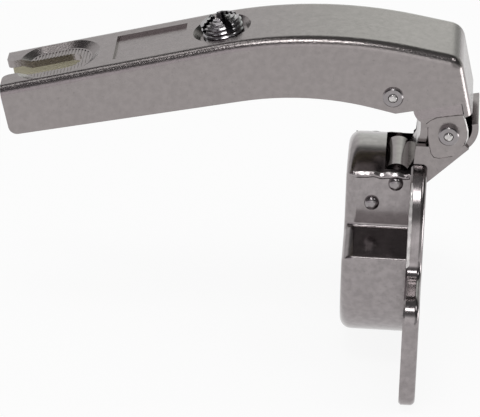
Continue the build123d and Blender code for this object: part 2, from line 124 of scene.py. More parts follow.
def remap(
    tree: bpy.types.NodeTree, value: bpy.types.NodeSocket, source: tuple, target: tuple
) -> bpy.types.NodeSocket:
    """Carry a value from one range to another, held at the ends.

    Args:
        tree: Node tree that the node goes into.
        value: Socket with the value.
        source: Range that the value lies in.
        target: Range that it is carried to.

    Returns:
        Socket with the carried value.
    """
    made = tree.nodes.new("ShaderNodeMapRange")
    for name, limit in zip(("From Min", "From Max", "To Min", "To Max"), (*source, *target)):
        made.inputs[name].default_value = limit
    tree.links.new(value, made.inputs["Value"])
    return made.outputs["Result"]


def reckon(
    tree: bpy.types.NodeTree,
    operation: str,
    first: bpy.types.NodeSocket,
    second: bpy.types.NodeSocket | float | None = None,
) -> bpy.types.NodeSocket:
    """Work out one sum on the surface.

    Args:
        tree: Node tree that the node goes into.
        operation: What is done to the two values.
        first: Socket with the first value.
        second: The second value or its socket, or None where the sum takes one value.

    Returns:
        Socket with the result.
    """
    made = tree.nodes.new("ShaderNodeMath")
    made.operation = operation
    tree.links.new(first, made.inputs[0])
    if isinstance(second, bpy.types.NodeSocket):
        tree.links.new(second, made.inputs[1])
    elif second is not None:
        made.inputs[1].default_value = second
    return made.outputs[0]


def mix_colours(
    tree: bpy.types.NodeTree,
    share: bpy.types.NodeSocket,
    near: bpy.types.NodeSocket | tuple,
    far: bpy.types.NodeSocket | tuple,
    way: str = "MIX",
) -> bpy.types.NodeSocket:
    """Mix two colours.

    Args:
        tree: Node tree that the node goes into.
        share: Socket with the share of the far colour.
        near: The near colour or its socket.
        far: The far colour or its socket.
        way: How the far colour is laid over the near one.

    Returns:
        Socket with the mixed colour.
    """
    made = tree.nodes.new("ShaderNodeMix")
    made.data_type = "RGBA"
    made.blend_type = way
    tree.links.new(share, made.inputs["Factor"])
    for name, colour in (("A", near), ("B", far)):
        if isinstance(colour, bpy.types.NodeSocket):
            tree.links.new(colour, made.inputs[name])
        else:
            made.inputs[name].default_value = (*colour, 1.0)
    return made.outputs["Result"]


@dataclass(frozen=True)
class Plating:
    """A plated steel finish.

    Attributes:
        name: Name of the material.
        colour: Colour of the metal in linear light.
        roughness: Mean roughness.
        lay: How the surface below the plating was worked.
        grain: Height of the fine grain, in millimetres.
        mottle: How far the roughness wanders from its mean.
        metallic: Share of the surface that reflects as metal.
        cloud: How far the plating's colour wanders from its mean.
        pits: How dark the small pits in the plating are, 0 for none.
    """

    name: str
    colour: tuple[float, float, float]
    roughness: float
    lay: Lay
    grain: float
    mottle: float = 0.05
    metallic: float = 1.0
    cloud: float = 0.06
    pits: float = 0.15

    def material(self) -> bpy.types.Material:
        """Make the node material of this finish.

        Returns:
            The new material.
        """
        made = bpy.data.materials.new(self.name)
        made.use_nodes = True
        tree = made.node_tree
        shader = tree.nodes["Principled BSDF"]
        shader.inputs["Metallic"].default_value = self.metallic
        place = tree.nodes.new("ShaderNodeTexCoord").outputs["Object"]
        tree.links.new(self.plated(tree, place), shader.inputs["Base Color"])
        stretch = tree.nodes.new("ShaderNodeMapping")
        stretch.inputs["Scale"].default_value = GRAINS[self.lay]
        tree.links.new(place, stretch.inputs["Vector"])
        grain = noise(tree, stretch.outputs["Vector"], 1.0, GRAIN_DETAIL)
        mottled = (self.roughness - self.mottle, self.roughness + self.mottle)
        tree.links.new(remap(tree, grain, WHOLE, mottled), shader.inputs["Roughness"])
        bump = tree.nodes.new("ShaderNodeBump")
        bump.inputs["Strength"].default_value = 1.0
        bump.inputs["Distance"].default_value = self.grain * MM
        tree.links.new(grain, bump.inputs["Height"])
        tree.links.new(bump.outputs["Normal"], shader.inputs["Normal"])
        return made

    def plated(
        self, tree: bpy.types.NodeTree, place: bpy.types.NodeSocket
    ) -> bpy.types.NodeSocket:
        """Colour the plating, with its clouds and pits.

        Args:
            tree: Node tree that the nodes go into.
            place: Socket with the place on the surface.

        Returns:
            Socket with the colour.
        """
        clouds = noise(tree, place, CLOUD_SCALE, CLOUD_DETAIL)
        dull = tuple(level * (1 - self.cloud) for level in self.colour)
        bright = tuple(level * (1 + self.cloud) for level in self.colour)
        clouded = mix_colours(tree, remap(tree, clouds, CLOUD_RANGE, WHOLE), dull, bright)
        specks = noise(tree, place, PIT_SCALE, PIT_DETAIL)
        pitted = remap(tree, specks, PIT_RANGE, (0.0, self.pits))
        return mix_colours(tree, pitted, clouded, PIT_COLOUR)


SATIN_NICKEL = Plating(
    "satin_nickel_sheet", (0.3, 0.273, 0.27), 0.2, Lay.ROLLED, 0.03, cloud=0.05
)
BRIGHT_NICKEL = Plating(
    "bright_nickel_pressing", (0.3, 0.274, 0.276), 0.17, Lay.DRAWN, 0.0012, cloud=0.1
)
LINK_NICKEL = Plating("link_nickel", (0.29, 0.264, 0.262), 0.2, Lay.DRAWN, 0.0015)
RIVET_STEEL = Plating("bright_rivet_steel", (0.29, 0.27, 0.275), 0.2, Lay.TURNED, 0.0012)
SCREW_STEEL = Plating("bright_screw_steel", (0.4, 0.385, 0.395), 0.18, Lay.TURNED, 0.0008)
SPRING_WIRE = Plating("drawn_spring_wire", (0.22, 0.215, 0.21), 0.32, Lay.DRAWN, 0.001)
# Near black that paints the shade inside the screw's cross.
SLOT_SHADE = Plating("screw_slot_painted_shade", (0.05, 0.045, 0.055), 0.4, Lay.TURNED, 0.002)
# Pale colour that paints the bright highlight line along the flange's back edge.
RIM_HIGHLIGHT = Plating(
    "flange_rim_painted_highlight", (0.72, 0.69, 0.68), 0.22, Lay.TURNED, 0.004, metallic=0.45, cloud=0.25
)
# Pale metal that paints the highlight on the rivets' nubs and along the lugs' front edges.
NUB_AND_EDGE_HIGHLIGHT = Plating(
    "nub_and_edge_painted_highlight", (0.62, 0.6, 0.59), 0.2, Lay.TURNED, 0.002, metallic=0.85, cloud=0.15
)
# Dark colour that paints the shade in the joggle's crease and along the lugs' outline.
EDGE_AND_CREASE_SHADE = Plating("edge_and_crease_painted_shade", (0.15, 0.13, 0.13), 0.35, Lay.DRAWN, 0.004, cloud=0.5)
DARK_SLEEVE = Plating(
    "dark_moulded_sleeve", (0.03, 0.03, 0.032), 0.5, Lay.DRAWN, 0.002, metallic=0.0
)


def dress(node: str, finish: Plating) -> bpy.types.Material:
    """Give a carried-over node its finish.

    Args:
        node: Name of the node.
        finish: The finish that covers it.

    Returns:
        The node's new material.
    """
    piece = frame["nodes"][node]
    made = finish.material()
    piece.data.materials.clear()
    piece.data.materials.append(made)
    LOG.info("%s: %s", node, finish.name)
    return made


def around(sides: int) -> list[float]:
    """Return the angles of the corners of a ring with that many sides."""
    return [2 * math.pi * side / sides for side in range(sides)]


def lay_roll(
    name: str,
    form: bmesh.types.BMesh,
    rings: list[list[bmesh.types.BMVert]],
    finish: bpy.types.Material,
    ride: tuple[str, str],
) -> None:
    """ride: The body that carries it, and a material slot that is not used.
    """
    for near, far in zip(rings, rings[1:]):
        for part, corner in enumerate(near):
            after = (part + 1) % len(near)
            form.faces.new((corner, near[after], far[after], far[part]))
    form.faces.new(rings[0])
    form.faces.new(rings[-1])
    bmesh.ops.recalc_face_normals(form, faces=form.faces)
    for face in form.faces:
        face.smooth = len(face.verts) == 4
    mesh = bpy.data.meshes.new(name)
    form.to_mesh(mesh)
    form.free()
    mesh.materials.append(finish)
    piece = bpy.data.objects.new(name, mesh)
    bpy.context.scene.collection.objects.link(piece)
    body, slot = ride
    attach(piece, body)
    LOG.info("%s: %d faces", name, len(mesh.polygons))


@dataclass(frozen=True)
class FineLine:
    """A fine line along a crease or an edge of the arm's lugs, coloured as painted shade or
    painted highlight. Lengths are in millimetres.

    Attributes:
        name: Name of the line.
        points: Its points along and across the arm, from the front rivet's axis.
        face: How far its middle lies from the hinge's middle plane.
        radius: Half its thickness.
        rise: How steeply the arm's front rises, in degrees.
        pivot: The front rivet's axis, as its x and z.
        sides: How many sides its rings have.
    """

    name: str
    points: tuple[tuple[float, float], ...]
    face: float
    radius: float
    rise: float = 12.6
    pivot: tuple[float, float] = (6.12, 24.13)
    sides: int = 10

    def lay(self, finish: bpy.types.Material) -> None:
        """Lay the line on both lugs.

        Args:
            finish: The line's material.
        """
        for side, word in SIDES:
            form = bmesh.new()
            rings = [self.ring(form, index, side) for index in range(len(self.points))]
            lay_roll(self.name + "_" + word, form, rings, finish, ("arm", "arm_plate"))

    def ring(self, form: bmesh.types.BMesh, index: int, side: int) -> list[bmesh.types.BMVert]:
        """Make the ring of vertices round one point.

        Args:
            form: The mesh that it goes into.
            index: Which point it is.
            side: 1 or -1, the lug that it lies on.

        Returns:
            The ring's vertices.
        """
        turn = math.radians(self.rise)
        along, across = self.points[index]
        ahead = self.points[min(index + 1, len(self.points) - 1)]
        behind = self.points[max(index - 1, 0)]
        way = Vector((ahead[0] - behind[0], ahead[1] - behind[1])).normalized()
        made = []
        for angle in around(self.sides):
            push = self.radius * math.cos(angle)
            u, v = along - way.y * push, across + way.x * push
            x = self.pivot[0] + u * math.cos(turn) - v * math.sin(turn)
            z = self.pivot[1] + u * math.sin(turn) + v * math.cos(turn)
            y = side * (self.face + self.radius * math.sin(angle))
            made.append(form.verts.new((x * MM, y * MM, z * MM)))
        return made


# Dark lines of painted shade in the joggle's crease and along the lugs' outline.
JOGGLE_CREASE = FineLine(
    "joggle_crease_shade",
    ((-3.45, 2.6), (-2.75, 3.05), (-1.5, 3.45), (0.1, 3.42), (3.0, 3.27)),
    face=8.58,
    radius=0.075,
)
LUG_EDGE = FineLine(
    "lug_edge_shade",
    (
        (-3.3, 1.9), (-3.5, 0.9), (-3.63, 0.0), (-3.65, -1.5), (-3.63, -3.2),
        (-3.3, -3.95), (-2.55, -4.28), (-1.2, -4.3), (-0.1, -4.3),
    ),
    face=8.58,
    radius=0.075,
)
# Pale line of painted highlight along the lugs' front edges.
LUG_FRONT = FineLine(
    "lug_front_highlight",
    ((3.05, 3.3), (3.15, 2.4), (3.22, 1.2), (3.28, 0.1), (3.05, -1.26), (2.4, -2.3)),
    face=8.54,
    radius=0.16,
)


@dataclass
class Arm:
    """The folded arm with its two rivets. Lengths are in millimetres.

    Attributes:
        sheet: Finish of the arm.
        rivets: Finish of the rivets.
        painted_highlight: Pale finish that paints the highlight on the rivets' nubs and along the
            lugs' front edges.
        painted_shade: Dark finish that paints the shade in the crease and along the lugs' other
            edges.
        front_pivot: The front rivet's axis, as its x and z.
        rear_pivot: The rear rivet's axis, as its x and z.
        front_head: How far the front rivet's heads lie from the middle plane.
        rear_head: How far the rear rivet's heads lie from the middle plane.
        nub_radius: Radius of a nub.
        nub_height: Height of a nub.
        nub_sunk: How deep a nub's foot lies in the head.
        nub_steps: How many steps a nub rises in.
        nub_sides: How many sides a nub's rings have.
        nub_reach: How far round a nub's outline goes, in degrees.
        inside_from: Least distance of the cheeks' inner faces from the middle plane.
        inside_to: Greatest distance of them.
        inside_facing: How squarely a face has to look across the arm to be one of them.
        inside_colour: Their colour in linear light.
        inside_metal: Share of them that reflects as metal.
    """

    sheet: Plating = SATIN_NICKEL
    rivets: Plating = RIVET_STEEL
    painted_highlight: Plating = NUB_AND_EDGE_HIGHLIGHT
    painted_shade: Plating = EDGE_AND_CREASE_SHADE
    front_pivot: tuple[float, float] = (6.12, 24.13)
    rear_pivot: tuple[float, float] = (-3.75, 30.37)
    front_head: float = 9.65
    rear_head: float = 8.55
    nub_radius: float = 0.74
    nub_height: float = 0.42
    nub_sunk: float = 0.03
    nub_steps: int = 8
    nub_sides: int = 32
    nub_reach: float = 88.0
    inside_from: float = 5.6
    inside_to: float = 6.85
    inside_facing: float = 0.7
    inside_colour: tuple[float, float, float] = (0.4, 0.37, 0.27)
    inside_metal: float = 0.35

    def dull_inside(self, material: bpy.types.Material) -> None:
        """Give the inner faces of the cheeks the yellowish, duller plating of a deep channel.

        Args:
            material: The arm's material.
        """
        tree = material.node_tree
        shader = tree.nodes["Principled BSDF"]
        surface = tree.nodes.new("ShaderNodeTexCoord")
        sizes = []
        for output in ("Object", "Normal"):
            split = tree.nodes.new("ShaderNodeSeparateXYZ")
            tree.links.new(surface.outputs[output], split.inputs["Vector"])
            sizes.append(reckon(tree, "ABSOLUTE", split.outputs["Y"]))
        distance, facing = sizes
        below = reckon(tree, "LESS_THAN", distance, self.inside_to * MM)
        above = reckon(tree, "GREATER_THAN", distance, self.inside_from * MM)
        across = reckon(tree, "GREATER_THAN", facing, self.inside_facing)
        inside = reckon(tree, "MULTIPLY", reckon(tree, "MULTIPLY", below, above), across)
        plated = shader.inputs["Base Color"].links[0].from_socket
        colour = mix_colours(tree, inside, plated, self.inside_colour)
        tree.links.new(colour, shader.inputs["Base Color"])
        metal = remap(tree, inside, WHOLE, (1.0, self.inside_metal))
        tree.links.new(metal, shader.inputs["Metallic"])

    def nub(
        self, name: str, pivot: tuple[float, float], head: float, finish: bpy.types.Material
    ) -> None:
        """Raise the round nub that the punch left in the middle of a rivet's head.

        Args:
            name: Name of the nub.
            pivot: The rivet's axis, as its x and z.
            head: Where the head's face lies along the axis.
            finish: The nub's material.
        """
        form = bmesh.new()
        rings = []
        side = math.copysign(1.0, head)
        for step in range(self.nub_steps + 1):
            lift = math.radians(self.nub_reach * step / self.nub_steps)
            radius = self.nub_radius * math.cos(lift)
            out = head + side * (self.nub_height * math.sin(lift) - self.nub_sunk)
            ring = []
            for angle in around(self.nub_sides):
                x = pivot[0] + radius * math.cos(angle)
                z = pivot[1] + radius * math.sin(angle)
                ring.append(form.verts.new((x * MM, out * MM, z * MM)))
            rings.append(ring)
        lay_roll(name, form, rings, finish, ("arm", "rivet_steel"))

    def build(self) -> None:
        """Dress the arm and its rivets, raise the rivets' nubs and line the lugs' edges in painted
        highlight and painted shade.
        """
        self.dull_inside(dress("hinge_arm", self.sheet))
        dress("front_arm_pin", self.rivets)
        dress("rear_arm_pin", self.rivets)
        # Pale finish for painted highlights, dark finish for painted shade.
        painted_highlight = self.painted_highlight.material()
        painted_shade = self.painted_shade.material()
        for side, word in SIDES:
            self.nub("front_rivet_nub_" + word, self.front_pivot, side * self.front_head, painted_highlight)
            self.nub("rear_rivet_nub_" + word, self.rear_pivot, side * self.rear_head, painted_highlight)
        JOGGLE_CREASE.lay(painted_shade)
        LUG_EDGE.lay(painted_shade)
        LUG_FRONT.lay(painted_highlight)


@dataclass
class Linkage:
    """The two links with the closing spring and its sleeve.

    Attributes:
        links: Finish of both links.
        wire: Finish of the spring.
        sleeve: Finish of the spring's sleeve.
    """

    links: Plating = LINK_NICKEL
    wire: Plating = SPRING_WIRE
    sleeve: Plating = DARK_SLEEVE

    def build(self) -> None:
        """Dress the links, the spring and the sleeve."""
        dress("outer_link", self.links)
        dress("inner_link", self.links)
        dress("closing_spring", self.wire)
        dress("spring_sleeve", self.sleeve)


@dataclass(frozen=True)
class Ripple:
    """A gentle wave that the drawing tool leaves along an edge.

    Attributes:
        size: Height of the wave.
        rate: How fast it runs, in radians to a millimetre.
        start: Where it starts, in radians.
    """

    size: float
    rate: float
    start: float = 0.0

    def at(self, along: float) -> float:
        """Return the wave's height at a place along the edge."""
        return self.size * math.sin(self.rate * along + self.start)


@dataclass
class Cup:
    """The drawn cup with its two pins. Lengths are in millimetres, angles in degrees.

    Attributes:
        pressing: Finish of the cup.
        pins: Finish of its pins.
        rim_highlight: Pale finish of the rolls along the flange's back edge, which paints their
            highlight.
        radius: Radius of the round wall.
        flat_at: How far the flats lie from the middle plane.
        bead: Half the thickness of the bead between a flat and the round wall.
        bead_face: How far the bead's pressed face lies from its middle.
        bead_lean: Where the pressed face looks, up from across the hinge.
        bead_sunk: How deep the bead's middle lies below the corner.
        bead_from: Where the bead starts along x.
        bead_to: Where it ends.
        bead_steps: How many steps it has along its length.
        bead_sides: How many sides its rings have.
        bead_rise: Waves that lift and lower it.
        bead_swell: Wave in its thickness.
        bead_tilt: Wave in where its pressed face looks.
        bead_taper: Its thickness at the ends, what the middle adds, and how fast it gets there.
        bead_press: How much of what stands past the pressed face is pressed away.
        far_bead: Size of the far side's bead, as a share of the near one's.
        rim_radius: Radius of the line along the flange's back edge.
        rim_thick: Half the thickness of the roll there.
        rim_back: How far the roll's middle lies from the flange's back, in half thicknesses.
        rim_from: Where the roll starts, up from across the hinge.
        rim_to: Where it ends.
        rim_steps: How many steps it has along its length.
        rim_sides: How many sides its rings have.
        rim_end: Its thickness at the ends, and how fast it grows from there.
        rim_wave: Height of the short waves in its thickness.
        rim_rates: How fast the two waves behind them run, in radians to a radian of the edge.
    """

    pressing: Plating = BRIGHT_NICKEL
    pins: Plating = RIVET_STEEL
    rim_highlight: Plating = RIM_HIGHLIGHT
    radius: float = 17.5
    flat_at: float = 8.3
    bead: float = 0.6
    bead_face: float = 0.49
    bead_lean: float = 48.0
    bead_sunk: float = 0.44
    bead_from: float = -10.1
    bead_to: float = -0.1
    bead_steps: int = 60
    bead_sides: int = 60
    bead_rise: tuple[Ripple, Ripple] = (Ripple(0.08, 1.6), Ripple(0.05, 2.9, 1.0))
    bead_swell: Ripple = Ripple(0.08, 1.3)
    bead_tilt: Ripple = Ripple(3.0, 2.1)
    bead_taper: tuple[float, float, float] = (0.85, 0.15, 0.3)
    bead_press: float = 0.97
    far_bead: float = 0.7
    rim_radius: float = 18.32
    rim_thick: float = 0.3
    rim_back: float = 1.1
    rim_from: float = -4.0
    rim_to: float = 56.0
    rim_steps: int = 90
    rim_sides: int = 16
    rim_end: tuple[float, float] = (0.35, 8.0)
    rim_wave: float = 0.12
    rim_rates: tuple[float, float] = (23.0, 61.0)

    def shoulder(self, side: int, word: str, finish: bpy.types.Material) -> None:
        """Lay the rippled bead that the drawing tool left where a flat turns into the round wall.

        Args:
            side: 1 or -1, the flat that it belongs to.
            word: The side's name.
            finish: The cup's material.
        """
        lean = math.asin(self.flat_at / self.radius)
        middle = (math.pi / 2 + lean) / 2
        out = Vector((0.0, math.sin(middle), math.cos(middle)))
        corner = Vector((0.0, self.flat_at, self.radius * math.cos(lean)))
        size = self.bead if side < 0 else self.bead * self.far_bead
        thin, added, haste = self.bead_taper
        form = bmesh.new()
        rings = []
        for step in range(self.bead_steps + 1):
            run = step / self.bead_steps
            along = self.bead_from + (self.bead_to - self.bead_from) * run
            taper = thin + added * math.sin(math.pi * run) ** haste
            thick = size * (1 + self.bead_swell.at(along)) * taper
            facing = math.radians(self.bead_lean + self.bead_tilt.at(along))
            wave = sum(ripple.at(along) for ripple in self.bead_rise)
            centre = corner - out * self.bead_sunk + Vector((0.0, 0.0, wave))
            ring = []
            for angle in around(self.bead_sides):
                reach = thick * math.cos(angle - facing)
                past = thick * self.bead_face / self.bead - reach
                pressed = min(0.0, past) * self.bead_press
                place = centre + thick * Vector((0.0, math.cos(angle), math.sin(angle)))
                place += pressed * Vector((0.0, math.cos(facing), math.sin(facing)))
                ring.append(form.verts.new((along * MM, side * place.y * MM, place.z * MM)))
            rings.append(ring)
        lay_roll("cup_shoulder_" + word, form, rings, finish, ("cup", "cup_plate"))

    def rim(self, side: int, word: str, finish: bpy.types.Material) -> None:
        """Lay the roll along the flange's back edge, whose pale finish paints a highlight line.

        Args:
            side: 1 or -1, the side of the cup that it belongs to.
            word: The side's name.
            finish: The roll's material.
        """
        thin, growth = self.rim_end
        slow, fast = self.rim_rates
        form = bmesh.new()
        rings = []
        for step in range(self.rim_steps + 1):
            run = step / self.rim_steps
            turn = math.radians(self.rim_from + (self.rim_to - self.rim_from) * run)
            swell = min(1.0, thin + growth * run, thin + growth * (1 - run))
            wave = 1 + self.rim_wave * math.sin(slow * turn) * math.sin(fast * turn)
            thick = self.rim_thick * swell * wave
            ring = []
            for angle in around(self.rim_sides):
                reach = self.rim_radius + thick * math.cos(angle)
                x = self.rim_thick * self.rim_back + thick * math.sin(angle)
                y = side * reach * math.cos(turn)
                ring.append(form.verts.new((x * MM, y * MM, reach * math.sin(turn) * MM)))
            rings.append(ring)
        lay_roll("flange_rim_highlight_" + word, form, rings, finish, ("cup", "cup_plate"))

    def build(self) -> None:
        """Dress the cup and its pins and add the rolls of its shoulders and rim."""
        finish = dress("hinge_cup", self.pressing)
        # Pale finish that paints the highlight on the flange's rolls.
        rim_highlight = self.rim_highlight.material()
        for side, word in SIDES:
            self.shoulder(side, word, finish)
            self.rim(side, word, rim_highlight)
        dress("rear_cup_pin", self.pins)
        dress("front_cup_pin", self.pins)


@dataclass
class AdjustingScrew:
    """The threaded screw that moves the arm sideways. Lengths are in millimetres.

    Heights are above the arm's web.

    Attributes:
        finish: Finish of the screw.
        slot_shade: Dark finish that paints the shade in the cross cut in its head.
        radius: Radius over the thread.
        crown: Height of the head's middle.
        shoulder: Height where the head's dome meets the straight thread.
        thread_end: Height of the thread's lower end.
        neck_radius: Radius of the neck below the thread.
        neck_end: Height of the neck's lower end.
        foot_radius: Radius of the foot.
        foot_end: Height of the foot's lower face.
        pitch: Distance from one turn of the thread to the next.
        depth: Depth of the thread.
        flank: How steep the thread's flanks are.
        fade: Radius below which the thread grows shallow towards the crown.
        dome_run: Way along the dome in which the thread turns from cut inwards to cut down.
        steps_per_turn: How many steps one pitch has along the outline.
        sides: How many sides its rings have.
        cross_width: Width of the cross's slots.
        cross_floor: Height of the cross's floor.
        cross_turn: How far the cross is turned, in degrees.
        cross_margin: Play in telling the cross's faces from the others.
    """

    finish: Plating = SCREW_STEEL
    slot_shade: Plating = SLOT_SHADE
    radius: float = 3.6
    crown: float = 2.65
    shoulder: float = 1.3
    thread_end: float = -5.75
    neck_radius: float = 2.3
    neck_end: float = -7.95
    foot_radius: float = 3.5
    foot_end: float = -9.35
    pitch: float = 0.82
    depth: float = 0.3
    flank: float = 1.5
    fade: float = 1.5
    dome_run: float = 3.9
    steps_per_turn: int = 8
    sides: int = 120
    cross_width: float = 1.25
    cross_floor: float = 0.2
    cross_turn: float = 30.0
    cross_margin: float = 0.01

    def profile(self) -> list[tuple[float, float, float]]:
        """Work out the outline of the head and the thread, without the thread's cut.

        Returns:
            Radius, height and distance along the outline from the shoulder of each point.
        """
        rise = self.crown - self.shoulder
        ball = (self.radius**2 + rise**2) / (2 * rise)
        span = math.asin(self.radius / ball)
        step = self.pitch / self.steps_per_turn
        domed = []
        count = round(span * ball / step)
        for index in range(1, count + 1):
            turn = span * index / count
            height = self.crown - ball * (1 - math.cos(turn))
            domed.append((ball * math.sin(turn), height, ball * (turn - span)))
        straight = []
        count = round((self.shoulder - self.thread_end) / step)
        for index in range(1, count + 1):
            run = (self.shoulder - self.thread_end) * index / count
            straight.append((self.radius, self.shoulder - run, run))
        return domed + straight

    def relief(self, run: float, turn: float) -> float:
        """Work out how deep the thread is cut at a place.

        Args:
            run: Distance along the outline from the shoulder.
            turn: Angle round the axis, as a share of a full turn.

        Returns:
            Depth of the cut.
        """
        wave = abs(2 * ((run / self.pitch - turn) % 1.0) - 1)
        return self.depth * min(1.0, self.flank * wave)

    def threaded(self, form: bmesh.types.BMesh) -> list[list[bmesh.types.BMVert]]:
        """Make the rings of the domed head and of the thread.

        Args:
            form: The mesh that they go into.

        Returns:
            The rings, from the crown down.
        """
        rings = []
        for radius, height, run in self.profile():
            lean = max(0.0, min(1.0, 1 + run / self.dome_run)) if run < 0 else 1.0
            ring = []
            for side, angle in enumerate(around(self.sides)):
                cut = self.relief(run, side / self.sides) * min(1.0, radius / self.fade)
                reach = radius - cut * lean
                down = height - cut * math.sqrt(1 - lean * lean)
                x, y = reach * math.cos(angle), reach * math.sin(angle)
                ring.append(form.verts.new((x, y, down)))
            rings.append(ring)
        return rings

    def plain(self, form: bmesh.types.BMesh) -> list[list[bmesh.types.BMVert]]:
        """Make the rings of the neck and the foot.

        Args:
            form: The mesh that they go into.

        Returns:
            The rings, from the thread down.
        """
        outline = (
            (self.neck_radius, self.thread_end),
            (self.neck_radius, self.neck_end),
            (self.foot_radius, self.neck_end),
            (self.foot_radius, self.foot_end),
        )
        return [
            [
                form.verts.new((radius * math.cos(angle), radius * math.sin(angle), height))
                for angle in around(self.sides)
            ]
            for radius, height in outline
        ]

    def body(self) -> bpy.types.Mesh:
        """Make the turned and threaded body round its own axis.

        Returns:
            The closed mesh, in millimetres.
        """
        form = bmesh.new()
        rings = self.threaded(form) + self.plain(form)
        top = form.verts.new((0, 0, self.crown))
        foot = form.verts.new((0, 0, self.foot_end))
        for side in range(self.sides):
            after = (side + 1) % self.sides
            form.faces.new((top, rings[0][side], rings[0][after]))
            form.faces.new((foot, rings[-1][after], rings[-1][side]))
            for upper, lower in zip(rings, rings[1:]):
                form.faces.new((upper[side], lower[side], lower[after], upper[after]))
        mesh = bpy.data.meshes.new("screw_body")
        form.to_mesh(mesh)
        form.free()
        return mesh

    def cutter(self, turn: float) -> bpy.types.Object:
        """Make a bar that cuts one slot of the cross.

        Args:
            turn: Angle of the slot, in degrees.

        Returns:
            The bar, in millimetres.
        """
        form = bmesh.new()
        bmesh.ops.create_cube(form, size=1.0)
        length, height = 4 * self.radius, 2 * self.crown
        bmesh.ops.scale(form, vec=(length, self.cross_width, height), verts=form.verts)
        bmesh.ops.translate(form, vec=(0, 0, self.cross_floor + height / 2), verts=form.verts)
        turned = Matrix.Rotation(math.radians(turn), 3, "Z")
        bmesh.ops.rotate(form, matrix=turned, verts=form.verts)
        mesh = bpy.data.meshes.new("slot_bar")
        form.to_mesh(mesh)
        form.free()
        bar = bpy.data.objects.new("slot_bar", mesh)
        bpy.context.scene.collection.objects.link(bar)
        return bar

    def cut(self) -> bpy.types.Mesh:
        """Cut the cross in the body.

        Returns:
            The finished mesh, in millimetres.
        """
        blank = bpy.data.objects.new("screw_blank", self.body())
        bpy.context.scene.collection.objects.link(blank)
        bars = [self.cutter(self.cross_turn + quarter) for quarter in (0.0, 90.0)]
        for bar in bars:
            cross = blank.modifiers.new("cross", "BOOLEAN")
            cross.operation = "DIFFERENCE"
            cross.solver = "EXACT"
            cross.object = bar
        graph = bpy.context.evaluated_depsgraph_get()
        mesh = bpy.data.meshes.new_from_object(blank.evaluated_get(graph))
        for spare in (blank, *bars):
            bpy.data.objects.remove(spare)
        return mesh

    def paint(self, mesh: bpy.types.Mesh) -> None:
        """Give the screw its finish and the cross's faces a dark one that paints their shade.

        Args:
            mesh: The screw's mesh, round its own axis.
        """
        mesh.materials.clear()
        mesh.materials.append(self.finish.material())
        # Second slot: dark finish that paints the shade in the cross's slots.
        mesh.materials.append(self.slot_shade.material())
        half = self.cross_width / 2 + self.cross_margin
        floor = self.cross_floor - self.cross_margin
        turn = Matrix.Rotation(-math.radians(self.cross_turn), 3, "Z")
        for face in mesh.polygons:
            place = turn @ face.center
            in_slot = min(abs(place.x), abs(place.y)) < half and place.z > floor
            face.material_index = 1 if in_slot else 0

    def build(self) -> None:
        """Make the screw, cut its cross and set it on its axis."""
        mesh = self.cut()
        self.paint(mesh)
        joints = frame["record"]["behaviour"]["joints"]
        joint = next(j for j in joints if j["name"] == "side_adjuster_turn")
        up = Vector(joint["axis"]).normalized()
        across = Vector((0.0, 1.0, 0.0))
        axes = Matrix((across.cross(up), across, up)).transposed().to_4x4()
        mesh.transform(Matrix.Translation(joint["pos_m"]) @ axes @ Matrix.Scale(MM, 4))
        piece = bpy.data.objects.new("adjusting_screw", mesh)
        bpy.context.scene.collection.objects.link(piece)
        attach(piece, "adjuster")
        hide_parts("side_adjusting_screw")
        LOG.info("%s: %d faces", piece.name, len(mesh.polygons))


@dataclass(frozen=True)
class SoftBox:
    """A rectangular lamp that faces the object. Lengths are in metres.

    Attributes:
        name: Name of the lamp.
        at: Where it hangs.
        size: Its two sides.
        power: Its power in watts.
        aim: The point that it faces.
    """

    name: str
    at: tuple[float, float, float]
    size: tuple[float, float]
    power: float
    aim: tuple[float, float, float] = (0.0, 0.0, 0.01)

    def hang(self) -> None:
        """Put the lamp in the scene."""
        data = bpy.data.lights.new(self.name, "AREA")
        data.shape = "RECTANGLE"
        data.size, data.size_y = self.size
        data.energy = self.power
        box = bpy.data.objects.new(self.name, data)
        box.location = self.at
        towards = Vector(self.aim) - Vector(self.at)
        box.rotation_euler = towards.to_track_quat("-Z", "Y").to_euler()
        bpy.context.scene.collection.objects.link(box)


